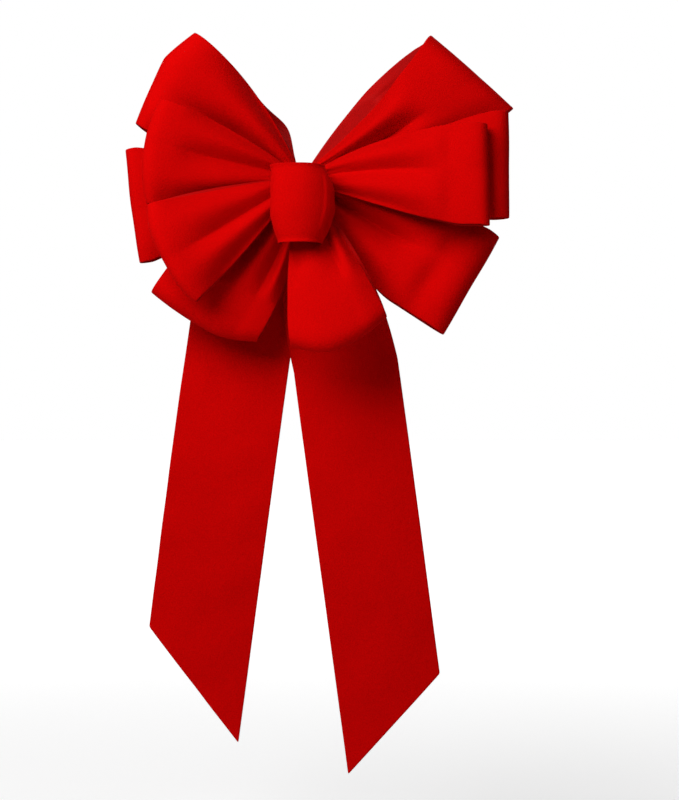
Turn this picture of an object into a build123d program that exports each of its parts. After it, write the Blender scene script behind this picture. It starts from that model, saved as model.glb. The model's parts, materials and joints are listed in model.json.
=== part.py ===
"""A pre-made gift bow of wide stiff velvet ribbon, tied at the waist with wire.

Frame: +X to the viewer's right, +Y to the back, +Z up, in millimetres.
The origin is on the back face of the gathered waist, where the fastening tie
crosses it, so everything decorative stands in front of Y = 0.

Each loop fans about the waist's own axis (Y). The loops lie in four layers
that spread from the waist like shallow cones, so one loop slides past another.
"""

from build123d import *
from math import cos, radians, sin
import os

os.makedirs("parts", exist_ok=True)

# ---------------------------------------------------------------- ribbon
ribbon_width = 63.5  # No. 40 ribbon, 2 1/2 inches
ribbon_thickness = 0.8  # stiffened backing with its flock

# ---------------------------------------------------------------- waist
waist_radius = 9.0  # the ribbon squeezed together under the wire
root_clearance = 0.3  # between the waist and each loop or tail that turns on it
gathered_width = 6.4  # a loop's ribbon where it leaves the waist
tail_layer = 4.25  # depth of waist taken by each tail's gather
loop_layer = 4.0  # depth of waist taken by each layer of loops
tail_layers = 2
loop_layers = 4

# ---------------------------------------------------------------- loops
reference_radius = 105.0  # distance from the axis where spread_layer is measured
spread_layer = 19.0  # depth of one layer of loops at the reference radius
root_gap = 0.5  # kept free on each side of a loop at the waist
spread_gap = 2.2  # and at the reference radius
bend_share = 0.44  # radius of a loop's end bend, as a share of its depth there

# name: direction from +X towards +Z (degrees), length from the axis, layer
# counted from the back, and the turn of the end fold from square (degrees)
loops = {
    "upper_left_loop": (144.8, 98.0, 1, 3.0),
    "middle_left_loop": (170.3, 88.0, 2, 3.5),
    "rear_left_loop": (189.4, 103.0, 0, -3.0),
    "lower_left_loop": (213.8, 88.0, 3, -8.0),
    "bottom_left_loop": (235.3, 101.0, 1, 7.0),
    "upper_right_loop": (31.3, 116.0, 1, 17.0),
    "rear_right_loop": (2.4, 118.5, 2, 0.0),
    "front_right_loop": (357.0, 106.5, 3, 5.0),
    "lower_right_loop": (326.7, 119.0, 1, 3.0),
    "bottom_centre_loop": (282.5, 98.0, 3, 0.0),
}

# ---------------------------------------------------------------- tails
# name: side (-1 left, +1 right), layer counted from the back, splay (degrees),
# X and Z of the place where the ribbon reaches its full width, and the lengths
# of its outer and inner edges below that place
tails = {
    "left_tail": (-1, 0, 7.75, -36.8, -87.3, 187.8, 251.3),
    "right_tail": (1, 1, 7.65, 26.1, -111.4, 191.4, 245.6),
}

# ---------------------------------------------------------------- centre loop
centre_left = 17.0  # reach of the centre loop to each side of the axis
centre_right = 19.0
centre_widest = 26.0  # distance from the waist's front face to its widest place
centre_depth = 43.5  # distance from the waist's front face to its front
centre_top = 6.0  # Z of its upper edge
centre_bottom = -42.0  # Z of its lower edge
centre_pinch_height = 13.6  # height of the ribbon under the wire
centre_pinch_width = 8.0  # flat stretch that the wire presses on the waist

# ---------------------------------------------------------------- binding wire
wire_diameter = 1.0
wire_clearance = 0.1
wire_bend_radius = 1.5  # of its centreline
twist_diameter = 1.9
twist_length = 9.5  # the twisted ends, folded down against the back
twist_stand_off = 1.7  # from the wire's back crossing to the twist's centreline

# ---------------------------------------------------------------- fastening tie
tie_width = 4.0
tie_thickness = 1.0
tie_seat = 0.1  # between the waist's back face and the tie
tie_saddle_half = 8.2  # from the middle of the tie to each bending line
tie_leg_length = 66.0
tie_leg_gap = 0.15  # between the saddle and a leg, at the bending line
tie_edge_radius = 0.4
tie_core_diameter = 0.5
tie_core_clearance = 0.05
tie_core_inset = 0.5  # the core stops this far inside each end of a leg

# ---------------------------------------------------------------- derived sizes
root_radius = waist_radius + root_clearance
loop_start = tail_layers * tail_layer  # depth where the layers of loops begin
waist_depth = loop_start + loop_layers * loop_layer
waist_front = -waist_depth
wire_track = waist_radius - wire_diameter / 2
wire_front = waist_front - ribbon_thickness - wire_clearance - wire_diameter / 2
tie_back = tie_seat + tie_thickness
tie_middle = tie_seat + tie_thickness / 2
wire_back = tie_back + wire_clearance + wire_diameter / 2
groove_depth = wire_diameter + wire_clearance
groove_width = wire_diameter + 2 * wire_clearance
twist_back = wire_back + twist_stand_off
tie_bore = tie_core_diameter + 2 * tie_core_clearance

front_view = Plane(origin=(0, 0, 0), x_dir=(1, 0, 0), z_dir=(0, -1, 0))
side_view = Plane(origin=(0, 0, 0), x_dir=(0, 1, 0), z_dir=(1, 0, 0))


def finish(part, name):
    """Label a finished piece and write it to its own file."""
    part.label = name
    export_step(part, f"parts/{name}.step")


def layer_depth(edge, radius):
    """Y of the boundary behind layer number edge, at a distance from the axis."""
    share = (radius - root_radius) / (reference_radius - root_radius)
    pitch = loop_layer + (spread_layer - loop_layer) * share
    return -loop_start - edge * pitch


def free_depth(radius):
    """Depth kept free on each side of a loop, at a distance from the axis."""
    share = (radius - root_radius) / (reference_radius - root_radius)
    return root_gap + (spread_gap - root_gap) * share


def direction(angle):
    """Unit vector in the XZ plane, turned from +X towards +Z."""
    return (cos(radians(angle)), 0, sin(radians(angle)))


def make_loop(name, angle, length, layer, turn):
    """One loop: a flat tube of ribbon that narrows to the waist.

    Its side profile is drawn square to the end fold and its outline is drawn
    from the front, and the loop is what the two have in common. The end fold
    leans with the layer, so that it is square to the loop's middle line.
    """
    reach = length * cos(radians(turn))
    square = angle + turn
    profile_plane = Plane(
        origin=(0, 0, 0), x_dir=direction(square), z_dir=direction(square + 90)
    )
    outline_plane = Plane(
        origin=(0, waist_depth, 0), x_dir=direction(angle), z_dir=(0, -1, 0)
    )
    middle_fall = layer_depth(layer + 0.5, root_radius) - layer_depth(layer + 0.5, reach)
    lean = middle_fall / (reach - root_radius)
    short_reach = reach - lean * (spread_layer - 2 * spread_gap)
    end_back = layer_depth(layer, reach) - free_depth(reach)
    end_front = layer_depth(layer + 1, short_reach) + free_depth(short_reach)
    root_back = layer_depth(layer, root_radius) - root_gap
    root_front = layer_depth(layer + 1, root_radius) + root_gap
    half = ribbon_width / 2
    across = (-half * sin(radians(turn)), half * cos(radians(turn)))
    beyond = (half * cos(radians(turn)), half * sin(radians(turn)))
    end_high = (length + across[0], across[1])
    end_low = (length - across[0], -across[1])

    with BuildPart() as loop:
        with BuildSketch(profile_plane):
            with BuildLine():
                Polyline(
                    (root_radius, root_back),
                    (reach, end_back),
                    (short_reach, end_front),
                    (root_radius, root_front),
                    close=True,
                )
            make_face()
            fillet(
                vertices().sort_by(Axis.X)[-2:], bend_share * (end_back - end_front)
            )
            offset(
                amount=-ribbon_thickness, kind=Kind.INTERSECTION, mode=Mode.SUBTRACT
            )
        extrude(amount=ribbon_width, both=True)
        with BuildSketch(outline_plane):
            with BuildLine():
                Polyline(
                    (0, -gathered_width / 2),
                    (root_radius, -gathered_width / 2),
                    end_low,
                    (end_low[0] + beyond[0], end_low[1] + beyond[1]),
                    (end_high[0] + beyond[0], end_high[1] + beyond[1]),
                    end_high,
                    (root_radius, gathered_width / 2),
                    (0, gathered_width / 2),
                    close=True,
                )
            make_face()
        extrude(amount=2 * waist_depth + loop_layers * 2 * spread_layer, mode=Mode.INTERSECT)
    finish(loop.part, name)


def make_tail(name, side, layer, splay, flare_x, flare_z, outer, inner):
    """One tail: flat ribbon gathered at the waist and cut on a slant below."""
    down = (side * sin(radians(splay)), -cos(radians(splay)))
    out = (side * cos(radians(splay)), sin(radians(splay)))
    half = ribbon_width / 2
    outer_start = (flare_x + half * out[0], flare_z + half * out[1])
    inner_start = (flare_x - half * out[0], flare_z - half * out[1])
    outer_end = (outer_start[0] + outer * down[0], outer_start[1] + outer * down[1])
    inner_end = (inner_start[0] + inner * down[0], inner_start[1] + inner * down[1])
    spread = (flare_x**2 + flare_z**2) ** 0.5
    along = (flare_x / spread, flare_z / spread)
    root = (root_radius * along[0], root_radius * along[1])
    step = (-side * along[1] * gathered_width / 2, side * along[0] * gathered_width / 2)
    middle = (layer + 0.5) * tail_layer
    face = Plane(
        origin=(0, ribbon_thickness / 2 - middle, 0), x_dir=(1, 0, 0), z_dir=(0, -1, 0)
    )
    with BuildPart() as tail:
        with BuildSketch(face):
            with BuildLine():
                Polyline(
                    (root[0] + step[0], root[1] + step[1]),
                    outer_start,
                    outer_end,
                    inner_end,
                    inner_start,
                    (root[0] - step[0], root[1] - step[1]),
                    close=True,
                )
            make_face()
        extrude(amount=ribbon_thickness)
    finish(tail.part, name)


def make_tie_leg(name, side):
    """One end of the fastening tie, with a bore for its steel core."""
    start = side * (tie_saddle_half + tie_leg_gap)
    across = Plane(origin=(start, tie_middle, 0), x_dir=(0, 1, 0), z_dir=(side, 0, 0))
    with BuildPart() as leg:
        with BuildSketch(across):
            RectangleRounded(tie_thickness, tie_width, tie_edge_radius)
            Circle(tie_bore / 2, mode=Mode.SUBTRACT)
        extrude(amount=tie_leg_length)
    finish(leg.part, name)


def make_tie_core(name, plane, length):
    """A straight length of the tie's steel core."""
    with BuildPart() as core:
        with BuildSketch(plane):
            Circle(tie_core_diameter / 2)
        extrude(amount=length)
    finish(core.part, name)


# ---------------------------------------------------------------- gathered waist
with BuildPart() as gathered_waist:
    with BuildSketch(front_view):
        Circle(waist_radius)
    extrude(amount=waist_depth)
    with BuildSketch(front_view):
        with Locations(
            (0, waist_radius - groove_depth / 2), (0, groove_depth / 2 - waist_radius)
        ):
            Rectangle(groove_width, groove_depth)
    extrude(amount=waist_depth, mode=Mode.SUBTRACT)
finish(gathered_waist.part, "gathered_waist")

# ---------------------------------------------------------------- centre loop
# Its lower edge slopes forwards from the pinch, clear of the front layer's cone.
underside_radius = (centre_bottom**2 + centre_right**2) ** 0.5
underside_front = layer_depth(loop_layers, underside_radius) - free_depth(underside_radius)

with BuildPart() as centre_loop:
    with BuildSketch(Plane.XY.offset(centre_bottom)):
        with BuildLine():
            l1 = Line(
                (centre_pinch_width / 2, waist_front),
                (-centre_pinch_width / 2, waist_front),
            )
            l2 = Line(l1 @ 1, (-centre_left, waist_front - centre_widest))
            l3 = Line(l1 @ 0, (centre_right, waist_front - centre_widest))
            ThreePointArc(l2 @ 1, (0, waist_front - centre_depth), l3 @ 1)
        make_face()
        offset(amount=-ribbon_thickness, kind=Kind.INTERSECTION, mode=Mode.SUBTRACT)
    extrude(amount=centre_top - centre_bottom + centre_pinch_height)
    with BuildSketch(side_view.offset(-ribbon_width)):
        with BuildLine():
            Polyline(
                (waist_front, centre_pinch_height / 2),
                (waist_front - ribbon_thickness, centre_pinch_height / 2),
                (waist_front - centre_widest / 2, centre_top),
                (waist_front - 2 * centre_depth, centre_top),
                (waist_front - 2 * centre_depth, centre_bottom),
                (underside_front, centre_bottom),
                (waist_front - ribbon_thickness, -centre_pinch_height / 2),
                (waist_front, -centre_pinch_height / 2),
                close=True,
            )
        make_face()
    extrude(amount=2 * ribbon_width, mode=Mode.INTERSECT)
finish(centre_loop.part, "centre_loop")

# ---------------------------------------------------------------- binding wire
with BuildPart() as binding_wire:
    with BuildLine(side_view):
        ring = FilletPolyline(
            (wire_back, wire_track),
            (wire_front, wire_track),
            (wire_front, -wire_track),
            (wire_back, -wire_track),
            radius=wire_bend_radius,
            close=True,
        )
    with BuildSketch(Plane(origin=ring @ 0, z_dir=ring % 0)):
        Circle(wire_diameter / 2)
    sweep()
    with BuildLine(side_view):
        twist = FilletPolyline(
            (wire_back, 0),
            (twist_back, 0),
            (twist_back, -twist_length),
            radius=twist_stand_off * 0.9,
        )
    with BuildSketch(Plane(origin=twist @ 0, z_dir=twist % 0)):
        Circle(twist_diameter / 2)
    sweep()
finish(binding_wire.part, "binding_wire")

# ---------------------------------------------------------------- loops and tails
for name, (angle, length, layer, turn) in loops.items():
    make_loop(name, angle, length, layer, turn)

for name, shape in tails.items():
    make_tail(name, *shape)

# ---------------------------------------------------------------- fastening tie
saddle_end = Plane(
    origin=(-tie_saddle_half, tie_middle, 0), x_dir=(0, 1, 0), z_dir=(1, 0, 0)
)
with BuildPart() as tie_saddle:
    with BuildSketch(saddle_end):
        RectangleRounded(tie_thickness, tie_width, tie_edge_radius)
        Circle(tie_bore / 2, mode=Mode.SUBTRACT)
    extrude(amount=2 * tie_saddle_half)
finish(tie_saddle.part, "tie_saddle")
make_tie_core(
    "tie_saddle_core", saddle_end.offset(tie_core_inset), 2 * (tie_saddle_half - tie_core_inset)
)

for word, side in (("left", -1), ("right", 1)):
    make_tie_leg(f"{word}_tie_leg", side)
    core_start = side * (tie_saddle_half + tie_leg_gap + tie_core_inset)
    core_end = Plane(
        origin=(core_start, tie_middle, 0), x_dir=(0, 1, 0), z_dir=(side, 0, 0)
    )
    make_tie_core(f"{word}_tie_core", core_end, tie_leg_length - 2 * tie_core_inset)
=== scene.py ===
"""A pre-made gift bow of stiff red velvet ribbon, dressed round its CAD frame.

Every size is in metres and comes from the frame's solids or from the settings
below. A loop, tail or the centre loop is one sheet of ribbon: its path is
drawn in its own plane, its width is gathered into pleats towards the waist,
and a thickness is added last.
"""

import json
import math

import bpy
import numpy as np
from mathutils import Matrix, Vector


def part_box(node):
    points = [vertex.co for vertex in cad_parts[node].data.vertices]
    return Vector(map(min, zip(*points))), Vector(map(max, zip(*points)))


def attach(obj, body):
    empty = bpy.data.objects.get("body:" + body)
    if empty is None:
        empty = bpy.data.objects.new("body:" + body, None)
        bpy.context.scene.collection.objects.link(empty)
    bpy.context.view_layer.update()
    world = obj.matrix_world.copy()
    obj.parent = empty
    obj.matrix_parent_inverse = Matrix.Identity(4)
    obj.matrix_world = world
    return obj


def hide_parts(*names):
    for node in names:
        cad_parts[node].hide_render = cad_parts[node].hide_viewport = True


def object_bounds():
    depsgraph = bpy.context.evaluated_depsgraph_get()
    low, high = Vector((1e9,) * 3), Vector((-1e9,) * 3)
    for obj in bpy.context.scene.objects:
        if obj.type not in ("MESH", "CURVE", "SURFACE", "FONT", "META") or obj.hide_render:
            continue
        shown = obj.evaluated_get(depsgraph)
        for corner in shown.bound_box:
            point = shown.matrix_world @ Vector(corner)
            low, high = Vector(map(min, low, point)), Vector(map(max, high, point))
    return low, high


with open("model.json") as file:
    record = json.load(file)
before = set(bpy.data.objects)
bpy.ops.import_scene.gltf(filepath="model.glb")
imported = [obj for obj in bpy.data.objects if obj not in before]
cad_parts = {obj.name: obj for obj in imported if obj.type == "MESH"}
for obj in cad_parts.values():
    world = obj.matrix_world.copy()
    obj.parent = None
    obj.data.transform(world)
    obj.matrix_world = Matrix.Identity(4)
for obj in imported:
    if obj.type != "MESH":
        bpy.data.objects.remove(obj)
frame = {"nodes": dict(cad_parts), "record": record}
CAD_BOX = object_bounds()

bl_info = {
    "name": "Gift bow",
    "version": (1, 0, 0),
    "blender": (4, 5, 0),
    "location": "View3D > Sidebar > Bow",
    "description": "Builds a velvet ribbon gift bow round its CAD frame",
    "category": "Add Mesh",
}

MM = 0.001
CLIMB = 0.72  # how early every loop rises towards the viewer: 1 is a straight rise
KNOT_DROP = 0.0035  # how far the centre loop's upper selvedge sags below its solid
WAIST_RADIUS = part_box("gathered_waist")[1][0]
ROOT_RADIUS = WAIST_RADIUS - 0.002  # where each ribbon's end lies, under the wire
NECK_HALF = 0.0042  # half width of a loop's ribbon where the wire gathers it
REAR_CLEARANCE = 0.011  # every loop's end fold stays this far in front of the back
FOLD_CLEARANCE = 0.0006  # gap that stays open between a loop's two panels
LOOP_ROWS, LOOP_COLUMNS = 120, 45  # points along a loop's ribbon, and across it
PANEL_POINTS, BEND_POINTS = 44, 23  # points on each panel of its path, and its end fold
TAIL_ROWS, TAIL_COLUMNS = 150, 41
NECK_ROWS = 46  # the tail's rows that lie between the wire and its full width

# How each loop's ribbon lies, beyond what its solid says. Lengths are in mm.
# The first selvedge is the one that comes first going from +X towards +Z.
#   valleys: places of the creases across the front panel, from 0 at the first
#            selvedge to 1 at the second
#   gather:  share of the spare width that goes into these folds
#   fade:    how far out the folds run, as a share of the length
#   opens:   for each selvedge, the share of the length at which the ribbon has
#            its full width, how fast it opens at first, and how late it starts
#   behind:  the same for the rear panel, where it differs
#   shift:   sideways offset of the rear panel, and where along the length
#   deepen:  extra depth behind the solid's own
#   tuck:    how far each selvedge curls back, at mid length
#   corners: outward and sideways offset of each corner of the end fold
#   crown:   how far the end fold stands out past a straight line, where, and how
#            flat its top is
#   dome:    how far the selvedges fall back behind the middle at the end fold
#   band:    depth of the soft dent that sets off the end of the front panel
LOOPS = {
    "upper_left_loop": dict(
        valleys=(0.61,), gather=1.1, fade=0.9, deepen=9.0,
        opens=((1.0, 1.9, 1.0), (0.93, 1.2, 1.0)), shift=(-7.0, 0.22), tuck=(5.0, 7.0),
        corners=((3.0, 1.5), (4.0, -0.5)), crown=(6.5, 0.36, 1.2), dome=2.0, band=0.0),
    "middle_left_loop": dict(
        valleys=(0.44,), gather=1.2, fade=0.85, deepen=2.0,
        opens=((1.0, 1.5, 1.0), (1.0, 1.5, 1.0)), shift=(0.0, 0.5), tuck=(1.0, 8.0),
        corners=((0.5, -3.5), (1.5, 1.0)), crown=(5.5, 0.5, 2.4), dome=3.0, band=0.0),
    "rear_left_loop": dict(
        valleys=(0.55,), gather=1.3, fade=0.95, deepen=0.0,
        opens=((0.93, 1.1, 1.0), (0.93, 1.1, 1.0)), shift=(0.0, 0.5), tuck=(3.0, 4.0),
        corners=((1.0, 3.0), (0.0, 2.0)), crown=(1.0, 0.5, 1.6), dome=1.0, band=0.0),
    "lower_left_loop": dict(
        valleys=(0.54,), gather=1.5, fade=0.95, deepen=2.0,
        opens=((1.0, 1.05, 1.0), (1.0, 1.1, 1.0)),
        behind=((1.0, 1.3, 1.0), (1.0, 1.1, 1.0)), shift=(0.0, 0.5), tuck=(1.0, 8.0),
        corners=((3.5, 0.5), (3.0, -2.0)), crown=(6.0, 0.5, 2.8), dome=3.0, band=0.0),
    "bottom_left_loop": dict(
        valleys=(0.46, 0.80), gather=1.7, fade=0.95, deepen=5.0,
        opens=((0.85, 1.3, 1.0), (1.0, 1.9, 1.0)), shift=(0.0, 0.5), tuck=(5.0, 3.0),
        corners=((3.0, 2.5), (0.0, 2.0)), crown=(7.0, 0.65, 1.6), dome=2.0, band=0.0),
    "upper_right_loop": dict(
        valleys=(0.42,), gather=1.1, fade=0.72, deepen=10.0,
        opens=((0.93, 1.2, 1.0), (1.0, 1.0, 1.5)),
        behind=((0.93, 1.2, 1.0), (0.92, 1.75, 1.0)), shift=(0.0, 0.5), tuck=(8.0, 1.0),
        corners=((3.5, 0.0), (3.5, -1.0)), crown=(0.0, 0.5, 1.6), dome=1.0, band=1.0),
    "rear_right_loop": dict(
        valleys=(0.5,), gather=1.5, fade=0.95, deepen=2.0,
        opens=((0.93, 1.2, 1.0), (0.93, 1.2, 1.0)), shift=(0.0, 0.5), tuck=(4.0, 4.0),
        corners=((2.0, 1.0), (4.5, -3.0)), crown=(0.0, 0.5, 1.6), dome=0.5, band=0.0),
    "front_right_loop": dict(
        valleys=(0.54,), gather=1.0, fade=0.8, deepen=1.0,
        opens=((0.85, 1.15, 1.0), (0.95, 2.0, 1.0)), shift=(0.0, 0.5), tuck=(4.0, 2.0),
        corners=((3.0, -4.0), (3.0, -2.0)), crown=(0.0, 0.5, 1.6), dome=1.0, band=3.0),
    "lower_right_loop": dict(
        valleys=(0.59,), gather=1.5, fade=0.8, deepen=7.0,
        opens=((0.68, 1.4, 1.0), (0.93, 1.2, 1.0)), shift=(0.0, 0.5), tuck=(7.0, 4.0),
        corners=((2.0, 1.0), (1.5, 1.5)), crown=(0.0, 0.5, 1.6), dome=0.5, band=4.0),
    "bottom_centre_loop": dict(
        valleys=(0.72,), gather=1.7, fade=0.72, deepen=3.0,
        opens=((1.0, 1.5, 1.0), (1.0, 1.2, 1.0)),
        behind=((1.0, 1.5, 1.0), (1.0, 1.5, 1.0)), shift=(0.0, 0.5), tuck=(3.0, 5.0),
        corners=((1.5, -4.5), (-2.5, -1.5)), crown=(10.5, 0.42, 1.8), dome=8.0, band=0.0),
}


# ------------------------------------------------------------------ settings
class BowSettings(bpy.types.PropertyGroup):
    ribbon_width: bpy.props.FloatProperty(
        name="Ribbon width", description="Width of the flat ribbon",
        default=0.0635, min=0.02, max=0.15, unit="LENGTH")
    ribbon_thickness: bpy.props.FloatProperty(
        name="Ribbon thickness", description="Thickness of the backed velvet",
        default=0.0007, min=0.0002, max=0.002, unit="LENGTH")
    gather_teeth: bpy.props.IntProperty(
        name="Gathers", description="Small folds across a ribbon at the wire",
        default=3, min=1, max=12)
    rear_gathers: bpy.props.IntProperty(
        name="Rear gathers", description="Folds across the rear panel of a loop",
        default=6, min=1, max=12)
    gather_depth: bpy.props.FloatProperty(
        name="Gather depth", description="Depth of the small folds at the wire",
        default=0.0010, min=0.0, max=0.004, unit="LENGTH")
    ripple: bpy.props.FloatProperty(
        name="Ripple", description="Height of the ribbon's gentle unevenness",
        default=0.0007, min=0.0, max=0.004, unit="LENGTH")
    velvet_colour: bpy.props.FloatVectorProperty(
        name="Velvet", description="Colour of the flock", subtype="COLOR",
        size=4, default=(0.60, 0.0006, 0.0005, 1.0), min=0.0, max=1.0)
    velvet_shade: bpy.props.FloatVectorProperty(
        name="Velvet shade", description="Flock brushed the other way",
        subtype="COLOR", size=4, default=(0.57, 0.0005, 0.0004, 1.0), min=0.0, max=1.0)
    backing_colour: bpy.props.FloatVectorProperty(
        name="Backing", description="Colour of the ribbon's woven back",
        subtype="COLOR", size=4, default=(0.50, 0.0006, 0.0005, 1.0), min=0.0, max=1.0)
    tie_colour: bpy.props.FloatVectorProperty(
        name="Tie", description="Colour of the twist tie's cover",
        subtype="COLOR", size=4, default=(0.03, 0.11, 0.045, 1.0), min=0.0, max=1.0)
    wire_colour: bpy.props.FloatVectorProperty(
        name="Wire", description="Colour of the steel wire",
        subtype="COLOR", size=4, default=(0.62, 0.61, 0.60, 1.0), min=0.0, max=1.0)


def settings():
    return bpy.context.scene.bow


# ------------------------------------------------------------- nodes and materials
def fill(tree, node, inputs):
    """Set a node's inputs, each to a plain value or to a link from another node."""
    for key, value in inputs.items():
        if isinstance(value, bpy.types.NodeSocket):
            tree.links.new(value, node.inputs[key])
        else:
            node.inputs[key].default_value = value


def adder(tree):
    """A helper that adds a node to a tree, with its attributes and inputs."""
    def add(kind, inputs=None, **attributes):
        node = tree.nodes.new(kind)
        for key, value in attributes.items():
            setattr(node, key, value)
        fill(tree, node, inputs or {})
        return node

    return add


def new_material(name):
    """An empty material, and the helper that adds its nodes."""
    mat = bpy.data.materials.new(name)
    mat.use_nodes = True
    return mat, adder(mat.node_tree)


def finish_material(mat, inputs):
    """Set the inputs of a material's shader, and give the material."""
    fill(mat.node_tree, mat.node_tree.nodes["Principled BSDF"], inputs)
    return mat


def velvet():
    """Flocked velvet: short dense pile, brushed in soft patches."""
    s = settings()
    mat, add = new_material("red_velvet")
    place = add("ShaderNodeTexCoord").outputs["Object"]
    brushed = add("ShaderNodeTexNoise", {"Vector": place, "Scale": 32.0, "Detail": 3.0,
                                         "Roughness": 0.55, "Distortion": 0.4})
    pile = add("ShaderNodeTexNoise", {"Vector": place, "Scale": 1900.0, "Detail": 2.0,
                                      "Roughness": 0.7})
    tufts = add("ShaderNodeTexVoronoi", {"Vector": place, "Scale": 1300.0})
    patches = add("ShaderNodeMapRange", {"Value": brushed.outputs["Fac"],
                                         "From Min": 0.35, "From Max": 0.65})
    ground = add("ShaderNodeMix", {"Factor": patches.outputs["Result"], "A": s.velvet_shade,
                                   "B": s.velvet_colour}, data_type="RGBA")
    nap = add("ShaderNodeMapRange", {"Value": pile.outputs["Fac"], "From Min": 0.25,
                                     "From Max": 0.75, "To Min": 0.88, "To Max": 1.08})
    tint = add("ShaderNodeVectorMath", {0: ground.outputs["Result"],
                                        "Scale": nap.outputs["Result"]}, operation="SCALE")
    rough = add("ShaderNodeMapRange", {"Value": pile.outputs["Fac"], "To Min": 0.82,
                                       "To Max": 1.0})
    height = add("ShaderNodeMath", {0: pile.outputs["Fac"], 1: tufts.outputs["Distance"]},
                 operation="ADD")
    fine = add("ShaderNodeBump", {"Strength": 0.35, "Distance": 0.0004,
                                  "Height": height.outputs["Value"]})
    soft = add("ShaderNodeBump", {"Strength": 0.25, "Distance": 0.0012,
                                  "Height": brushed.outputs["Fac"],
                                  "Normal": fine.outputs["Normal"]})
    return finish_material(mat, {
        "Base Color": tint.outputs["Vector"], "Roughness": rough.outputs["Result"],
        "Normal": soft.outputs["Normal"], "Specular IOR Level": 0.02, "Sheen Weight": 0.22,
        "Sheen Roughness": 0.35, "Sheen Tint": (1.0, 0.01, 0.008, 1.0)})


def backing():
    """The ribbon's back: a fine plain weave with a slight gloss."""
    mat, add = new_material("ribbon_backing")
    cloth = add("ShaderNodeUVMap", uv_map="UVMap").outputs["UV"]
    warp = add("ShaderNodeTexWave", {"Vector": cloth, "Scale": 420.0, "Distortion": 0.6,
                                     "Detail": 1.0}, bands_direction="X")
    weft = add("ShaderNodeTexWave", {"Vector": cloth, "Scale": 330.0, "Distortion": 0.6,
                                     "Detail": 1.0}, bands_direction="Y")
    weave = add("ShaderNodeMath", {0: warp.outputs["Fac"], 1: weft.outputs["Fac"]},
                operation="MULTIPLY")
    place = add("ShaderNodeTexCoord").outputs["Object"]
    cloud = add("ShaderNodeTexNoise", {"Vector": place, "Scale": 60.0, "Detail": 2.0})
    shade = add("ShaderNodeMapRange", {"Value": cloud.outputs["Fac"], "To Min": 0.85,
                                       "To Max": 1.12})
    thread = add("ShaderNodeMapRange", {"Value": weave.outputs["Value"], "To Min": 0.8,
                                        "To Max": 1.1})
    both = add("ShaderNodeMath", {0: shade.outputs["Result"], 1: thread.outputs["Result"]},
               operation="MULTIPLY")
    tint = add("ShaderNodeVectorMath", {0: settings().backing_colour[:3],
                                        "Scale": both.outputs["Value"]}, operation="SCALE")
    bump = add("ShaderNodeBump", {"Strength": 0.3, "Distance": 0.0002,
                                  "Height": weave.outputs["Value"]})
    rough = add("ShaderNodeMapRange", {"Value": cloud.outputs["Fac"], "To Min": 0.6,
                                       "To Max": 0.75})
    return finish_material(mat, {
        "Base Color": tint.outputs["Vector"], "Roughness": rough.outputs["Result"],
        "Normal": bump.outputs["Normal"], "Specular IOR Level": 0.06})


def cut_edge():
    """The ribbon's rim, where the pile meets the backing."""
    s = settings()
    mat, add = new_material("ribbon_rim")
    place = add("ShaderNodeTexCoord").outputs["Object"]
    fray = add("ShaderNodeTexNoise", {"Vector": place, "Scale": 1600.0, "Detail": 2.0})
    tone = add("ShaderNodeMix", {"Factor": fray.outputs["Fac"], "A": s.velvet_shade,
                                 "B": s.backing_colour}, data_type="RGBA")
    bump = add("ShaderNodeBump", {"Strength": 0.5, "Distance": 0.0003,
                                  "Height": fray.outputs["Fac"]})
    return finish_material(mat, {
        "Base Color": tone.outputs["Result"], "Roughness": 0.95,
        "Normal": bump.outputs["Normal"], "Specular IOR Level": 0.05})


def worn(mat, add, marks, colour, tones, dullness, relief, **rest):
    """Finish a material whose colour, gloss and surface all follow the same marks."""
    tone = add("ShaderNodeMapRange", {"Value": marks, "To Min": tones[0], "To Max": tones[1]})
    tint = add("ShaderNodeVectorMath", {0: colour[:3], "Scale": tone.outputs["Result"]},
               operation="SCALE")
    rough = add("ShaderNodeMapRange", {"Value": marks, "To Min": dullness[0],
                                       "To Max": dullness[1]})
    bump = add("ShaderNodeBump", {"Strength": relief[0], "Distance": relief[1],
                                  "Height": marks})
    return finish_material(mat, {
        "Base Color": tint.outputs["Vector"], "Roughness": rough.outputs["Result"],
        "Normal": bump.outputs["Normal"], **rest})


def steel():
    """Drawn steel wire with faint lengthwise marks."""
    mat, add = new_material("drawn_steel")
    place = add("ShaderNodeTexCoord").outputs["Object"]
    marks = add("ShaderNodeTexNoise", {"Vector": place, "Scale": 900.0, "Detail": 4.0})
    return worn(mat, add, marks.outputs["Fac"], settings().wire_colour, (0.85, 1.05),
                (0.25, 0.45), (0.15, 0.0001), Metallic=1.0)


def tie_cover():
    """The twist tie's waxed paper cover, crinkled across its length."""
    mat, add = new_material("tie_cover")
    place = add("ShaderNodeTexCoord").outputs["Object"]
    squeezed = add("ShaderNodeMapping", {"Vector": place, "Scale": (1.0, 0.3, 0.15)})
    folds = add("ShaderNodeTexNoise", {"Vector": squeezed.outputs["Vector"],
                                       "Scale": 1400.0, "Detail": 3.0})
    return worn(mat, add, folds.outputs["Fac"], settings().tie_colour, (0.75, 1.25),
                (0.4, 0.6), (0.4, 0.0002))


MAKERS = {"red_velvet": velvet, "ribbon_backing": backing, "ribbon_rim": cut_edge,
          "drawn_steel": steel, "tie_cover": tie_cover}


def material(name):
    """The material of that name, made when it is first asked for."""
    return bpy.data.materials.get(name) or MAKERS[name]()


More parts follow.
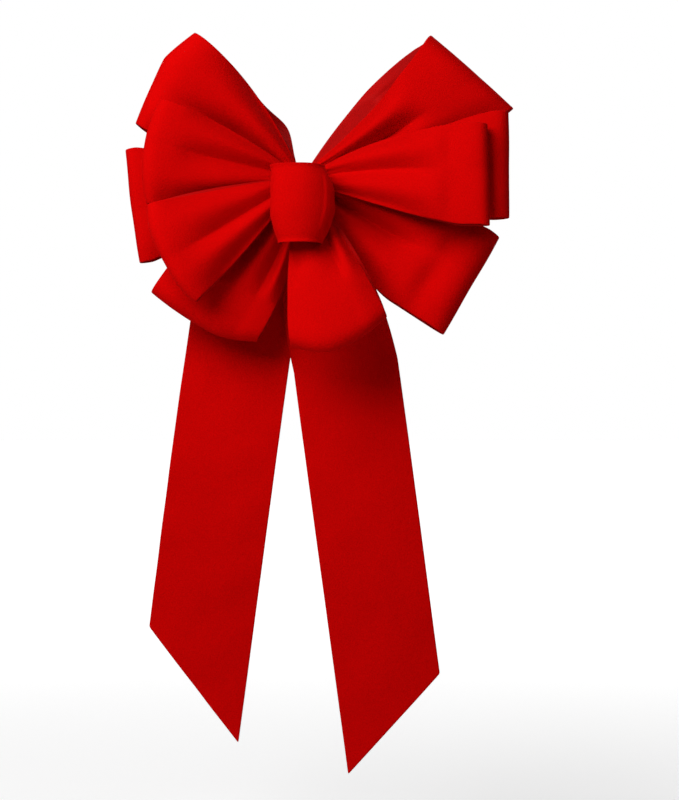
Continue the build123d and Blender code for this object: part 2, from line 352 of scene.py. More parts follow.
# ------------------------------------------------------------- ribbon sheets
def smooth(line, width):
    """A line of points, averaged over a window that shrinks towards its ends."""
    out = line.copy()
    n = len(line)
    for i in range(n):
        k = min(i, n - 1 - i, width)
        if k:
            weights = 1.0 + np.cos(np.linspace(-1, 1, 2 * k + 3)[1:-1] * math.pi)
            out[i] = (line[i - k:i + k + 1] * weights[:, None]).sum(0) / weights.sum()
    return out


def evenly(line, count):
    """A line's points spaced evenly, with their distances before and after."""
    before = np.concatenate([[0], np.cumsum(np.linalg.norm(np.diff(line, axis=0), axis=1))])
    after = np.linspace(0, before[-1], count)
    points = np.stack([np.interp(after, before, line[:, k]) for k in (0, 1)], 1)
    return points, before, after


def held_back(depth, limit):
    """A depth that eases off before it reaches a limit."""
    return depth / (1 + (depth / limit) ** 6) ** (1 / 6)


def ease(x):
    """A smooth step from 0 to 1."""
    x = np.clip(x, 0.0, 1.0)
    return x * x * (3 - 2 * x)


def pleats(u, valleys):
    """-1 on each crease and at both selvedges, and 1 along the lobes between."""
    stops = (0.0, *valleys, 1.0)
    out = np.zeros_like(u)
    for low, high in zip(stops, stops[1:]):
        inside = (u >= low) & (u <= high)
        share = (u[inside] - low) / (high - low)
        out[inside] = -1 + 2 * np.maximum(np.sin(np.pi * share), 0) ** 1.05
    return out


def unevenness(points, seed, scale):
    """A slow random height over points, the same for the same seed."""
    rng = np.random.default_rng(seed)
    total = np.zeros(points.shape[:-1])
    for _ in range(6):
        way = rng.normal(size=3)
        way /= np.linalg.norm(way)
        wave = scale * rng.uniform(0.6, 1.6)
        total += np.sin(points @ way * 2 * math.pi / wave + rng.uniform(0, 2 * math.pi))
    return total / 6


def ribbon(name, points, body, nodes, flat, flip=False, seed=1):
    """A sheet of ribbon from a grid of points, dressed and ridden.

    points[i, j] is a place on the ribbon, i along its length and j across it.
    """
    s = settings()
    rows, columns = points.shape[:2]
    across = points[1:-1, 2:] - points[1:-1, :-2]
    along = points[2:, 1:-1] - points[:-2, 1:-1]
    normal = np.zeros_like(points)
    normal[1:-1, 1:-1] = np.cross(across, along)
    normal[0], normal[-1] = normal[1], normal[-2]
    normal[:, 0], normal[:, -1] = normal[:, 1], normal[:, -2]
    size = np.linalg.norm(normal, axis=-1, keepdims=True)
    normal /= np.maximum(size, 1e-12)
    points = points + normal * (s.ripple * unevenness(points, seed, 0.045))[..., None]

    faces = []
    for i in range(rows - 1):
        for j in range(columns - 1):
            a, b = i * columns + j, (i + 1) * columns + j
            faces.append((a, b, b + 1, a + 1) if flip else (a, a + 1, b + 1, b))
    mesh = bpy.data.meshes.new(name)
    mesh.from_pydata([tuple(p) for p in points.reshape(-1, 3)], [], faces)
    uv = mesh.uv_layers.new(name="UVMap")
    run = np.linalg.norm(np.diff(points, axis=0), axis=-1).mean(1)
    run = np.concatenate([[0], np.cumsum(run)])
    for loop in mesh.loops:
        i, j = divmod(loop.vertex_index, columns)
        uv.data[loop.index].uv = (flat[0] * j / (columns - 1), run[i])
    mesh.polygons.foreach_set("use_smooth", [True] * len(mesh.polygons))
    piece = bpy.data.objects.new(name, mesh)
    bpy.context.scene.collection.objects.link(piece)
    for finish in ("red_velvet", "ribbon_backing", "ribbon_rim"):
        mesh.materials.append(material(finish))
    wall = piece.modifiers.new("thickness", "SOLIDIFY")
    wall.thickness = s.ribbon_thickness
    wall.offset = 0.0
    wall.material_offset = 1
    wall.material_offset_rim = 2
    rounder = piece.modifiers.new("rounder", "SUBSURF")
    rounder.levels = rounder.render_levels = 1
    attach(piece, body)
    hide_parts(*nodes)
    return piece


def solid_points(node):
    """The corners of a CAD node, as an array."""
    mesh = frame["nodes"][node].data
    flat = np.zeros(3 * len(mesh.vertices))
    mesh.vertices.foreach_get("co", flat)
    return flat.reshape(-1, 3)


def body_of_node(node):
    """The name of the body that holds a node."""
    bodies = frame["record"]["behaviour"]["bodies"]
    return next(body for body, nodes in bodies.items() if node in nodes)


def measure_loop(node):
    """Where a loop's solid lies: its direction, reach, end fold and depths."""
    p = solid_points(node)
    flat = p[:, [0, 2]]
    way = flat.mean(0) / np.linalg.norm(flat.mean(0))
    for _ in range(3):
        side = np.array([-way[1], way[0]])
        outward, sideways = flat @ way, flat @ side
        low = flat[(outward * 0.5 - sideways).argmax()]
        high = flat[(outward * 0.5 + sideways).argmax()]
        middle = (low + high) / 2
        way = middle / np.linalg.norm(middle)
    side = np.array([-way[1], way[0]])
    turn = math.atan2((low - high) @ way, (high - low) @ side)
    root = p[flat @ way < WAIST_RADIUS + 2 * MM]
    end = p[flat @ way > 0.8 * np.linalg.norm(middle)]
    return dict(angle=math.atan2(way[1], way[0]), length=float(np.linalg.norm(middle)),
                turn=turn, root=(root[:, 1].max(), root[:, 1].min()),
                end=(end[:, 1].max(), end[:, 1].min()))


def opening(far, full, early, late):
    """How much of its half width a ribbon shows at a share of its length."""
    return (1 - (1 - np.clip(far / full, 0, 1)) ** early) ** late


def loop_path(m, deepen):
    """The middle line of a loop's ribbon, from its rear root round to its front root.

    Gives its points as distances outward and depths, how far each one belongs to the
    front panel, the room between the two panels there, and the whole run.
    """
    back0, front0 = m["root"]
    back1, front1 = m["end"]
    back1 = min(back1 + deepen, -REAR_CLEARANCE)
    bend = (back1 - front1) / 2
    reach = m["length"] - bend
    f = np.linspace(0, 1, PANEL_POINTS)
    rear, front = (
        np.stack([ROOT_RADIUS + (reach - ROOT_RADIUS) * f, root + (end - root) * f ** CLIMB], 1)
        for root, end in ((back0, back1), (front0, front1)))
    turnround = np.linspace(90, -90, BEND_POINTS + 2)[1:-1] * math.pi / 180
    fold = np.stack([reach + bend * np.cos(turnround),
                     (back1 + front1) / 2 + bend * np.sin(turnround)], 1)
    path = smooth(np.concatenate([rear, fold, front[::-1]]), 5)
    path[:, 0] = ROOT_RADIUS + (path[:, 0] - ROOT_RADIUS) * (m["length"] - ROOT_RADIUS) / (
        path[:, 0].max() - ROOT_RADIUS)
    path, step, even = evenly(path, LOOP_ROWS)
    forward = np.interp(even, step, np.concatenate([
        np.zeros(PANEL_POINTS), np.linspace(0, 1, BEND_POINTS), np.ones(PANEL_POINTS)]))
    rear_at = np.interp(path[:, 0], rear[:, 0], rear[:, 1])
    front_at = np.interp(path[:, 0], front[:, 0], front[:, 1])
    room = np.maximum(0.95 * (rear_at - front_at) - FOLD_CLEARANCE, FOLD_CLEARANCE)
    return path, forward, room, step[-1]


def loop_folds(rule, far, room, spare, u):
    """The depth of the front panel's creases and the height of the rear panel's folds."""
    s = settings()
    lobes = pleats(u, rule["valleys"])
    teeth = np.abs(np.sin(math.pi * s.gather_teeth * u)) * 2 - 1
    amplitude = np.minimum(rule["gather"] * spare, 0.5 * room)
    amplitude = amplitude * (1 - ease((far - 0.35) / (rule["fade"] - 0.35)) ** 2)
    amplitude = amplitude + 0.0004 * ease((far - 0.5) * 2)
    small = s.gather_depth * np.clip(1 - far / 0.3, 0, 1)
    low_tuck, high_tuck = (x * MM for x in rule["tuck"])
    edge = low_tuck * (1 - u / 0.28).clip(0) ** 2 + high_tuck * (1 - (1 - u) / 0.28).clip(0) ** 2
    curl = edge[None, :] * (np.sin(math.pi * np.clip(far, 0, 1)) ** 0.7)[:, None]
    sunk = (amplitude[:, None] * (1 - lobes)[None, :] + small[:, None] * (1 - teeth)[None, :]
            + curl)
    ridges = (0.5 - 0.5 * np.cos(2 * math.pi * s.rear_gathers * u))[None, :]
    ridges = ridges * np.minimum(1, 4.5 * np.minimum(u, 1 - u))[None, :]
    tight = (0.5 * room * (1 - ease((far - 0.25) / 0.6)))[:, None]
    raised = (1.1 * amplitude[:, None] + tight * ridges) * (0.5 + 0.5 * lobes)[None, :]
    return held_back(sunk, room[:, None]), raised


def loop_grid(node, rule):
    """The points of one loop of ribbon, from its rear root round to its front."""
    m = measure_loop(node)
    half = settings().ribbon_width / 2
    path, forward, room, run = loop_path(m, rule["deepen"] * MM)
    u = np.linspace(0, 1, LOOP_COLUMNS)
    far = np.clip((path[:, 0] - ROOT_RADIUS) / (m["length"] - ROOT_RADIUS), 0, 1)
    (first_out, first_side), (second_out, second_side) = rule["corners"]

    def half_widths(forward):
        """How far each selvedge lies from the middle, from the rear panel to the front."""
        return (
            NECK_HALF + (half + side_step * MM - NECK_HALF) * (
                forward * opening(far, *ahead) + (1 - forward) * opening(far, *astern))
            for ahead, astern, side_step in zip(
                rule["opens"], rule.get("behind", rule["opens"]), (first_side, second_side)))

    first, second = half_widths(forward)
    t = u[None, :] * second[:, None] - (1 - u)[None, :] * first[:, None]
    aside, aside_at = rule["shift"]
    slide = (1 - forward) * aside * MM * np.exp(-((far - aside_at) / 0.14) ** 2)
    t = t + slide[:, None]

    # the width that the folds take up, for each side of each fold
    spare = np.sqrt(np.maximum((2 * half) ** 2 - (first + second) ** 2, 0)) / (
        4 * (len(rule["valleys"]) + 1))
    sunk, raised = loop_folds(rule, far, room, spare, u)
    # the rear panel's folds stop short of the front panel that they face
    before, after = half_widths(1.0)
    facing = (t + before[:, None]) / (before + after)[:, None]
    spared = np.stack([np.interp(at, u, line) for at, line in zip(facing, sunk)])
    raised = held_back(raised, 0.8 * np.maximum(room[:, None] - spared, 0.0) + 0.00005)
    depth = path[:, 1][:, None] + sunk * forward[:, None] - raised * (1 - forward)[:, None]
    depth = depth + rule["dome"] * MM * ((2 * u - 1) ** 2)[None, :] * (far ** 2)[:, None]
    dent = np.exp(-((far - 0.80) / 0.06) ** 2) * forward
    lobes = pleats(u, rule["valleys"])
    depth = depth + rule["band"] * MM * dent[:, None] * (0.75 + 0.25 * lobes)[None, :]
    behind_edge = (1 - u / 0.5).clip(0) if aside < 0 else (2 * u - 1).clip(0)
    depth = depth + 2.2 * np.abs(slide)[:, None] * behind_edge[None, :]

    stand, peak, flatness = rule["crown"]
    crown = 1 - (1 - np.where(u < peak, u / peak, (1 - u) / (1 - peak))) ** flatness
    r = path[:, 0][:, None] - t * math.tan(m["turn"]) * (far ** 2)[:, None]
    r = r + MM * (far ** 4)[:, None] * (
        stand * crown + first_out * (1 - u) + second_out * u)[None, :]
    out = np.array([math.cos(m["angle"]), 0, math.sin(m["angle"])])
    side = np.array([-out[2], 0, out[0]])
    grid = r[..., None] * out + t[..., None] * side
    grid[..., 1] = depth
    return grid, run


class BOW_OT_loops(bpy.types.Operator):
    """Make the ten loops of ribbon"""

    bl_idname = "bow.loops"
    bl_label = "Loops"

    def execute(self, context):
        for seed, (node, rule) in enumerate(LOOPS.items(), start=3):
            grid, run = loop_grid(node, rule)
            ribbon("velvet_" + node, grid, body_of_node(node), [node],
                   (settings().ribbon_width, run), seed=seed)
        return {"FINISHED"}


# --------------------------------------------------------------------- tails
def tail_grid(node):
    """The points of one tail, from its gathers at the waist to its slant cut."""
    s = settings()
    p = solid_points(node)
    depth = p[:, 1].mean()
    side = 1.0 if p[:, 0].mean() > 0 else -1.0
    tip = p[p[:, 2].argmin()]
    outer = p[(p[:, 0] * side).argmax()]
    half = s.ribbon_width / 2
    away = p[np.hypot(p[:, 0], p[:, 2]) > 3 * WAIST_RADIUS]
    shoulder = away[away[:, 2] > -0.5 * abs(tip[2])]
    top_outer = shoulder[(shoulder[:, 0] * side).argmax()]
    down = (outer - top_outer)[[0, 2]]
    down /= np.linalg.norm(down)
    across = np.array([-down[1], down[0]]) * side
    across = across if across[0] * side > 0 else -across
    centre_top = top_outer[[0, 2]] - across * half
    inner_run = (tip[[0, 2]] - (centre_top - across * half)) @ down
    outer_run = (outer - top_outer)[[0, 2]] @ down

    u = np.linspace(0, 1, TAIL_COLUMNS)  # 0 at the inner selvedge, 1 at the outer
    neck = np.linalg.norm(centre_top)
    start = centre_top / neck * ROOT_RADIUS
    ends = inner_run + (outer_run - inner_run) * u + 1.5 * MM
    narrow = 4.5 * MM
    grid = np.zeros((TAIL_ROWS, TAIL_COLUMNS, 3))
    for i in range(TAIL_ROWS):
        if i < NECK_ROWS:
            f = i / (NECK_ROWS - 1)
            middle = start + (centre_top - start) * f
            turn = ease(1.25 * f)
            way = (1 - turn) * across_of(centre_top / neck, side) + turn * across
            way = way / np.linalg.norm(way)
            wide = narrow + (half - narrow) * opening(f, 1.0, 2.4, 1.0)
            spare = math.sqrt(max((2 * half) ** 2 - (2 * wide) ** 2, 0)) / 12
            fold = 0.42 * spare * np.abs(np.cos(math.pi * 3 * u)) * (1 - 0.3 * f)
            fold = fold * min(1.0, 0.25 + 2.0 * f)
            place = middle[None, :] + way[None, :] * ((2 * u - 1) * wide)[:, None]
        else:
            g = (i - NECK_ROWS + 1) / (TAIL_ROWS - NECK_ROWS)
            place = (centre_top[None, :] + across[None, :] * ((2 * u - 1) * half)[:, None]
                     + down[None, :] * (ends * g)[:, None])
            fold = np.zeros(TAIL_COLUMNS)
        grid[i, :, 0], grid[i, :, 2] = place[:, 0], place[:, 1]
        grid[i, :, 1] = depth + fold
    # the hanging part cups a little across its width and swings back at the tip
    fallen = np.clip(-grid[..., 2] / abs(tip[2]), 0, 1)
    cup = 0.0015 * (1 - (2 * u - 1) ** 2)[None, :] * ease((fallen - 0.25) / 0.5)
    swing = 0.011 * ease((fallen - 0.42) / 0.58) - 0.007 * ease((fallen - 0.2) / 0.25)
    roll = 0.0006 * side * (2 * u - 1)[None, :] * np.sin(fallen * 5.0)
    grid[..., 1] += -cup + swing + roll
    run = neck + (inner_run + outer_run) / 2
    return grid, run, side


def across_of(way, side):
    """The direction square to a way in the XZ plane, towards the outer side."""
    square = np.array([-way[1], way[0]])
    return square if square[0] * side > 0 else -square


class BOW_OT_tails(bpy.types.Operator):
    """Make the two hanging tails"""

    bl_idname = "bow.tails"
    bl_label = "Tails"

    def execute(self, context):
        for seed, node in enumerate(("left_tail", "right_tail"), start=21):
            grid, run, side = tail_grid(node)
            ribbon("velvet_" + node, grid, body_of_node(node), [node],
                   (settings().ribbon_width, run),
                   flip=side > 0, seed=seed)
        return {"FINISHED"}


# --------------------------------------------------------------- centre loop
class BOW_OT_centre(bpy.types.Operator):
    """Make the centre loop that covers the waist"""

    bl_idname = "bow.centre"
    bl_label = "Centre loop"

    def execute(self, context):
        low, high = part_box("centre_loop")
        left, right, top, bottom = low[0], high[0], high[2] - KNOT_DROP, low[2]
        front, rear = low[1], high[1]
        rows, columns = 150, 57  # points along the ribbon, and across it
        # the loop's section seen from above: pinch, left side, front, right side
        corner = np.array([
            (0.0, rear), (left * 0.42, rear - 0.006), (left * 0.90, rear - 0.016),
            (left * 1.05, rear - 0.029), (left * 0.86, rear - 0.040),
            (0.5 * (left + right), front - 0.001), (right * 0.84, rear - 0.038),
            (right * 1.06, rear - 0.027), (right * 0.90, rear - 0.015),
            (right * 0.42, rear - 0.006), (0.0, rear)])
        at = np.linspace(0, 1, len(corner))
        fine = np.stack([np.interp(np.linspace(0, 1, 400), at, corner[:, k]) for k in (0, 1)], 1)
        fine = smooth(fine, 42)
        path, step, _ = evenly(fine, rows)
        away = np.clip((rear - path[:, 1]) / (rear - front), 0, 1)
        u = np.linspace(0, 1, columns)
        pinch = 6.8 * MM  # half the loop's height where the wire gathers it
        spread = ease(away / 0.5) ** 0.8
        upper = pinch + (top - pinch) * spread
        lower = -pinch + (bottom + pinch) * spread
        height = lower[:, None] + (upper - lower)[:, None] * u[None, :]
        spare = np.sqrt(np.maximum(settings().ribbon_width ** 2 - (upper - lower) ** 2, 0)) / 16
        fold = 0.8 * spare[:, None] * (np.cos(2 * math.pi * 3.5 * u)[None, :])
        fold = fold * (0.03 + 0.97 * (1 - ease(away / 0.5)))[:, None]
        tangent = np.gradient(path, axis=0)
        tangent /= np.linalg.norm(tangent, axis=1, keepdims=True)
        outward = np.stack([-tangent[:, 1], tangent[:, 0]], 1)
        # how wide the loop is on each side, from its lower selvedge to its upper
        narrow_left = np.interp(u, (0, 0.05, 0.2, 0.36, 1), (0.72, 0.77, 0.90, 1, 1))
        narrow_right = np.interp(u, (0, 0.07, 0.26, 0.44, 0.68, 0.8, 0.9, 1),
                                 (0.60, 0.73, 0.91, 1, 0.97, 0.89, 0.79, 0.66))
        taper = np.where(path[:, 0][:, None] < 0, smooth(narrow_left[:, None], 3)[:, 0][None, :],
                         smooth(narrow_right[:, None], 3)[:, 0][None, :])
        # the ribbon laps over itself down the right side of the front
        share = np.linspace(0, 1, rows)
        lap_at = 0.585 + 0.04 * u
        lap = ease((share[:, None] - lap_at[None, :]) / 0.02)
        lap = lap * (1 - ease((share[:, None] - 0.72) / 0.25))
        lap = lap * np.interp(u, (0.1, 0.35, 0.8, 0.95), (0, 1, 1, 0))[None, :]
        press = fold - 0.0007 * lap
        belly = 0.004 * (2 * u - 1)[None, :] ** 2 * away[:, None] ** 2
        grid = np.stack([path[:, 0][:, None] * taper + outward[:, 0][:, None] * press,
                         path[:, 1][:, None] + outward[:, 1][:, None] * press + belly,
                         height], -1)
        # both selvedges curl inwards over a few columns
        curled = 4
        for d in range(curled):
            turned = 1.3 * MM * (1 - d / curled) ** 2 * away[:, None] * outward
            for j in (d, columns - 1 - d):
                grid[:, j, :2] -= turned
        run = float(step[-1])
        ribbon("velvet_centre_loop", grid, "root", ["centre_loop"],
               (settings().ribbon_width, run), flip=True,
               seed=41)
        return {"FINISHED"}


# --------------------------------------------------------------------- waist
class BOW_OT_waist(bpy.types.Operator):
    """Make the pinched ribbon under the binding wire"""

    bl_idname = "bow.waist"
    bl_label = "Gathered waist"

    def execute(self, context):
        low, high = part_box("gathered_waist")
        radius = high[0]
        teeth, around = 26, 208  # small folds round the waist, and points round it
        stations = 30  # rings of points from the back to the front
        angle = np.linspace(0, 2 * math.pi, around, endpoint=False)
        ridge = np.abs(np.sin(angle * teeth / 2 + 0.6 * np.sin(3 * angle)))
        points, faces = [], []
        for i in range(stations):
            f = i / (stations - 1)
            depth = high[1] + (low[1] - high[1]) * f
            squeeze = 1 - 0.05 * math.sin(math.pi * f)
            cap = math.sqrt(max(1 - (2 * abs(f - 0.5)) ** 10, 0.0)) * 0.12 + 0.88
            wave = radius * squeeze * cap * (0.90 + 0.10 * ridge ** 0.7)
            for k in range(around):
                points.append((wave[k] * math.cos(angle[k]), depth,
                               wave[k] * math.sin(angle[k])))
        for i in range(stations - 1):
            for k in range(around):
                n = (k + 1) % around
                a, b = i * around, (i + 1) * around
                faces.append((a + k, b + k, b + n, a + n))
        for row, depth, order in ((0, high[1], 1), (stations - 1, low[1], -1)):
            ring = row * around
            rings = [ring]
            for share in (0.72, 0.42, 0.15):
                base = len(points)
                for k in range(around):
                    x, _, z = points[ring + k]
                    dip = 0.0006 * (ridge[k] - 0.5) * share
                    points.append((x * share, depth + order * (dip - 0.0002), z * share))
                rings.append(base)
            for a, b in zip(rings, rings[1:]):
                for k in range(around):
                    n = (k + 1) % around
                    quad = (a + k, a + n, b + n, b + k)
                    faces.append(quad if order > 0 else quad[::-1])
            base = len(points)
            points.append((0, depth - order * 0.0002, 0))
            for k in range(around):
                n = (k + 1) % around
                tri = (rings[-1] + k, rings[-1] + n, base)
                faces.append(tri if order > 0 else tri[::-1])
        mesh = bpy.data.meshes.new("velvet_waist")
        mesh.from_pydata(points, [], faces)
        mesh.polygons.foreach_set("use_smooth", [True] * len(mesh.polygons))
        mesh.materials.append(material("red_velvet"))
        piece = bpy.data.objects.new("velvet_waist", mesh)
        context.scene.collection.objects.link(piece)
        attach(piece, "root")
        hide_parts("gathered_waist")
        return {"FINISHED"}


# ---------------------------------------------------------- wire and its tie
def new_tree(name, sizes):
    """A node tree that takes a curve, named sizes and a material.

    Gives the tree, its inputs, and the helper that adds its nodes.
    """
    tree = bpy.data.node_groups.new(name, "GeometryNodeTree")
    sockets = {"Geometry": "Geometry", **sizes, "Material": "Material"}
    for label, kind in sockets.items():
        tree.interface.new_socket(label, in_out="INPUT", socket_type="NodeSocket" + kind)
    tree.interface.new_socket("Geometry", in_out="OUTPUT", socket_type="NodeSocketGeometry")
    add = adder(tree)
    return tree, add("NodeGroupInput").outputs, add


def finish_tree(given, add, shape):
    """Make a tree's shape real, smooth and painted, and hand it out."""
    real = add("GeometryNodeRealizeInstances", {"Geometry": shape})
    shade = add("GeometryNodeSetShadeSmooth", {"Geometry": real.outputs["Geometry"]})
    paint = add("GeometryNodeSetMaterial", {"Geometry": shade.outputs["Geometry"],
                                            "Material": given["Material"]})
    add("NodeGroupOutput", {"Geometry": paint.outputs["Geometry"]})


def wire_tree(name):
    """Nodes that sweep a round wire along a curve and twist two of its ends."""
    tree, given, add = new_tree(name, {
        "Wire radius": "Float", "Twist radius": "Float", "Twist height": "Float",
        "Twist turns": "Float", "Twist place": "Vector"})
    profile = add("GeometryNodeCurvePrimitiveCircle", {
        "Resolution": 14, "Radius": given["Wire radius"]}).outputs["Curve"]
    join = add("GeometryNodeJoinGeometry")
    ring = add("GeometryNodeCurveToMesh", {
        "Curve": given["Geometry"], "Profile Curve": profile, "Fill Caps": True})
    tree.links.new(ring.outputs["Mesh"], join.inputs["Geometry"])
    for turn in (0.0, math.pi):
        helix = add("GeometryNodeCurveSpiral", {
            "Resolution": 28, "Rotations": given["Twist turns"], "Height": given["Twist height"],
            "Start Radius": given["Twist radius"], "End Radius": given["Twist radius"]})
        strand = add("GeometryNodeCurveToMesh", {
            "Curve": helix.outputs["Curve"], "Profile Curve": profile, "Fill Caps": True})
        place = add("GeometryNodeTransform", {
            "Geometry": strand.outputs["Mesh"], "Rotation": (0.0, 0.0, turn),
            "Translation": given["Twist place"]})
        tree.links.new(place.outputs["Geometry"], join.inputs["Geometry"])
    finish_tree(given, add, join.outputs["Geometry"])
    return tree


def strip_tree(name):
    """Nodes that sweep the tie's flat section along a line and crimp its edges."""
    tree, given, add = new_tree(name, {
        "Half width": "Float", "Paper half": "Float", "Core swell": "Float",
        "Crimp pitch": "Float", "Crimp depth": "Float"})

    def maths(operation, *values):
        return add("ShaderNodeMath", dict(enumerate(values)), operation=operation).outputs[0]

    def split_position():
        where = add("GeometryNodeInputPosition").outputs["Position"]
        return add("ShaderNodeSeparateXYZ", {"Vector": where}).outputs

    # the section: a flat oval, thicker where it holds the core
    oval = add("GeometryNodeCurvePrimitiveCircle", {"Resolution": 40, "Radius": 1.0})
    part = split_position()
    near = maths("POWER", maths("MULTIPLY", part["X"], 3.2), 2.0)
    swell = maths("MULTIPLY", given["Core swell"],
                  maths("DIVIDE", 1.0, maths("ADD", 1.0, maths("POWER", near, 2.0))))
    thick = maths("ADD", given["Paper half"], swell)
    made = add("ShaderNodeCombineXYZ", {"X": maths("MULTIPLY", part["X"], given["Half width"]),
                                        "Y": maths("MULTIPLY", part["Y"], thick)})
    section = add("GeometryNodeSetPosition", {"Geometry": oval.outputs["Curve"],
                                              "Position": made.outputs["Vector"]})
    strip = add("GeometryNodeCurveToMesh", {
        "Curve": given["Geometry"], "Profile Curve": section.outputs["Geometry"],
        "Fill Caps": True})
    # crimps: a small wave along the strip that grows towards its edges
    spot = split_position()
    phase = maths("MULTIPLY", maths("DIVIDE", spot["X"], given["Crimp pitch"]), 2 * math.pi)
    edge = maths("POWER", maths("DIVIDE", spot["Z"], given["Half width"]), 2.0)
    wave = maths("MULTIPLY", maths("MULTIPLY", maths("SINE", phase), edge),
                 given["Crimp depth"])
    push = add("ShaderNodeCombineXYZ", {"Y": wave})
    crimp = add("GeometryNodeSetPosition", {"Geometry": strip.outputs["Mesh"],
                                            "Offset": push.outputs["Vector"]})
    finish_tree(given, add, crimp.outputs["Geometry"])
    return tree


def grown(name, line, closed, tree, inputs):
    """The plain mesh that a node tree grows on a curve through a line of points."""
    curve = bpy.data.curves.new(name + "_line", "CURVE")
    curve.dimensions = "3D"
    curve.twist_mode = "Z_UP"
    spline = curve.splines.new("POLY")
    spline.points.add(len(line) - 1)
    for point, place in zip(spline.points, line):
        point.co = (*place, 1.0)
    spline.use_cyclic_u = closed
    guide = bpy.data.objects.new(name + "_line", curve)
    bpy.context.scene.collection.objects.link(guide)
    grow = guide.modifiers.new("grow", "NODES")
    grow.node_group = tree
    for item in tree.interface.items_tree:
        if item.in_out == "INPUT" and item.name in inputs:
            grow[item.identifier] = inputs[item.name]
    guide.update_tag()
    bpy.context.view_layer.update()
    shown = guide.evaluated_get(bpy.context.evaluated_depsgraph_get())
    mesh = bpy.data.meshes.new_from_object(shown)
    mesh.name = name
    bpy.data.objects.remove(guide)
    bpy.data.curves.remove(curve)
    piece = bpy.data.objects.new(name, mesh)
    bpy.context.scene.collection.objects.link(piece)
    return piece


class BOW_OT_wire(bpy.types.Operator):
    """Make the binding wire with its twisted ends"""

    bl_idname = "bow.wire"
    bl_label = "Binding wire"

    def execute(self, context):
        low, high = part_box("binding_wire")
        radius = 0.5 * MM
        ring_top = WAIST_RADIUS - radius
        front = low[1] + radius
        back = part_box("tie_saddle")[1][1] + 0.1 * MM + radius
        corner = 1.5 * MM
        line = []
        for y, z, turn in ((back - corner, ring_top - corner, 0),
                           (front + corner, ring_top - corner, 90),
                           (front + corner, corner - ring_top, 180),
                           (back - corner, corner - ring_top, 270)):
            for k in range(9):
                a = math.radians(turn + 90 * k / 8)
                line.append((0.0, y + corner * math.cos(a), z + corner * math.sin(a)))
        piece = grown("wire_ring", line, True, wire_tree("wire_nodes"), {
            "Wire radius": radius * 0.96, "Twist radius": 0.5 * radius + 0.22 * MM,
            "Twist height": ring_top + 0.5 * MM, "Twist turns": 3.5,
            "Twist place": (0.0, high[1] - 0.95 * MM, low[2] + radius),
            "Material": material("drawn_steel")})
        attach(piece, "root")
        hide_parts("binding_wire")
        return {"FINISHED"}


class BOW_OT_tie(bpy.types.Operator):
    """Make the twist tie that fastens the bow"""

    bl_idname = "bow.tie"
    bl_label = "Fastening tie"

    def execute(self, context):
        tree = strip_tree("tie_nodes")
        for node in ("tie_saddle", "left_tie_leg", "right_tie_leg"):
            low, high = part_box(node)
            middle = [(a + b) / 2 for a, b in zip(low, high)]
            count = max(12, int((high[0] - low[0]) / (0.35 * MM)))
            line = [(low[0] + (high[0] - low[0]) * k / count, middle[1], middle[2])
                    for k in range(count + 1)]
            half_thickness, paper = (high[1] - low[1]) / 2, 0.16 * MM
            piece = grown("cover_" + node, line, False, tree, {
                "Half width": (high[2] - low[2]) / 2, "Paper half": paper,
                "Core swell": half_thickness - paper,
                "Crimp pitch": 1.4 * MM, "Crimp depth": 0.12 * MM,
                "Material": material("tie_cover")})
            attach(piece, body_of_node(node))
            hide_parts(node)
        for node in ("tie_saddle_core", "left_tie_core", "right_tie_core"):
            mesh = frame["nodes"][node].data
            mesh.materials.clear()
            mesh.materials.append(material("drawn_steel"))
        return {"FINISHED"}


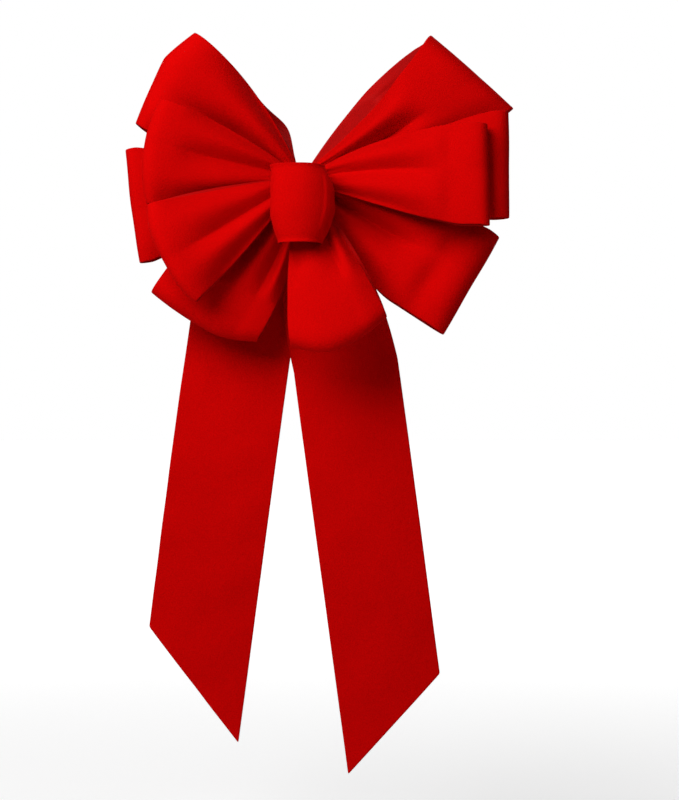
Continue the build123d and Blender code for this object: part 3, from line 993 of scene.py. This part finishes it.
# --------------------------------------------------------------------- stage
class BOW_OT_stage(bpy.types.Operator):
    """Make the floor, the lights and the camera"""

    bl_idname = "bow.stage"
    bl_label = "Stage"

    def execute(self, context):
        scene = context.scene
        scene.view_settings.view_transform = "Standard"
        low, high = (np.array(c) for c in CAD_BOX)
        height, reach = low[2] - 0.10, 12.0
        mesh = bpy.data.meshes.new("floor")
        mesh.from_pydata([(-reach, -reach, height), (reach, -reach, height),
                          (reach, reach, height), (-reach, reach, height)], [],
                         [(0, 1, 2, 3)])
        floor = bpy.data.objects.new("floor", mesh)
        scene.collection.objects.link(floor)
        mat, add = new_material("pale_floor")
        rays = add("ShaderNodeLightPath").outputs
        seen = add("ShaderNodeMath", {0: rays["Is Camera Ray"], 1: rays["Is Glossy Ray"]},
                   operation="MAXIMUM")
        place = add("ShaderNodeTexCoord").outputs["Object"]
        away = add("ShaderNodeVectorMath", {0: place}, operation="LENGTH")
        level = add("ShaderNodeMapRange", {"Value": away.outputs["Value"], "From Min": 0.6,
                                           "From Max": 1.6, "To Min": 0.55, "To Max": 1.0})
        glow = add("ShaderNodeMath", {0: seen.outputs["Value"], 1: level.outputs["Result"]},
                   operation="MULTIPLY")
        mesh.materials.append(finish_material(mat, {
            "Base Color": (0.86, 0.86, 0.86, 1), "Roughness": 0.9,
            "Emission Color": (1, 1, 1, 1), "Emission Strength": glow.outputs["Value"]}))

        # the room lights the bow faintly, and looks white to the camera
        world = bpy.data.worlds.new("studio")
        scene.world = world
        world.use_nodes = True
        tree = world.node_tree
        add = adder(tree)
        base = tree.nodes["Background"]
        fill(tree, base, {"Color": (1, 1, 1, 1), "Strength": 0.04})
        white = add("ShaderNodeBackground", {"Color": (1, 1, 1, 1), "Strength": 1.0})
        rays = add("ShaderNodeLightPath").outputs
        seen = rays["Is Camera Ray"]
        for kind in ("Is Glossy Ray", "Is Transmission Ray"):
            seen = add("ShaderNodeMath", {0: seen, 1: rays[kind]}, operation="MAXIMUM").outputs[0]
        mix = add("ShaderNodeMixShader", {"Fac": seen, 1: base.outputs["Background"],
                                          2: white.outputs["Background"]})
        fill(tree, tree.nodes["World Output"], {"Surface": mix.outputs["Shader"]})

        middle = (low + high) / 2
        lamps = (
            ("key", (-0.34, -0.56, 0.34), 0.55, 6.4),
            ("fill", (0.30, -0.90, 0.30), 0.8, 1.0),
            ("rim", (0.35, 0.9, 0.85), 0.8, 3.0),
        )
        for name, place, size, power in lamps:
            light = bpy.data.lights.new(name, "AREA")
            light.shape = "SQUARE"
            light.size = size
            light.energy = power
            lamp = bpy.data.objects.new(name, light)
            lamp.location = place
            aim = np.array((middle[0], middle[1], 0.0)) - np.array(place)
            lamp.rotation_euler = direction_euler(aim)
            scene.collection.objects.link(lamp)

        view = bpy.data.cameras.new("camera")
        view.sensor_width = 36.0
        distance, field = 1.0, 0.488  # how far off it stands, and the width it takes in
        view.lens = view.sensor_width * distance / field
        camera = bpy.data.objects.new("camera", view)
        camera.location = (0.0223, -distance, -0.1324)
        camera.rotation_euler = (math.pi / 2, 0.0, 0.0)
        scene.collection.objects.link(camera)
        scene.camera = camera
        return {"FINISHED"}


def direction_euler(way):
    """Euler angles that point a lamp's -Z along a direction."""
    return Vector(way).to_track_quat("-Z", "Y").to_euler()


# --------------------------------------------------------------------- panel
class BOW_PT_panel(bpy.types.Panel):
    """Sizes, colours and the steps that build the bow"""

    bl_idname = "BOW_PT_panel"
    bl_label = "Gift bow"
    bl_space_type = "VIEW_3D"
    bl_region_type = "UI"
    bl_category = "Bow"

    def draw(self, context):
        column = self.layout.column()
        for name in BowSettings.__annotations__:
            column.prop(context.scene.bow, name)
        for step in STEPS:
            column.operator(step.bl_idname)


STEPS = (BOW_OT_stage, BOW_OT_loops, BOW_OT_tails, BOW_OT_centre, BOW_OT_waist,
         BOW_OT_wire, BOW_OT_tie)
CLASSES = (BowSettings, *STEPS, BOW_PT_panel)


def register():
    for cls in CLASSES:
        bpy.utils.register_class(cls)
    bpy.types.Scene.bow = bpy.props.PointerProperty(type=BowSettings)


def unregister():
    del bpy.types.Scene.bow
    for cls in reversed(CLASSES):
        bpy.utils.unregister_class(cls)


def main():
    register()
    for step in STEPS:
        group, word = step.bl_idname.split(".")
        getattr(getattr(bpy.ops, group), word)()


if __name__ == "__main__":
    main()
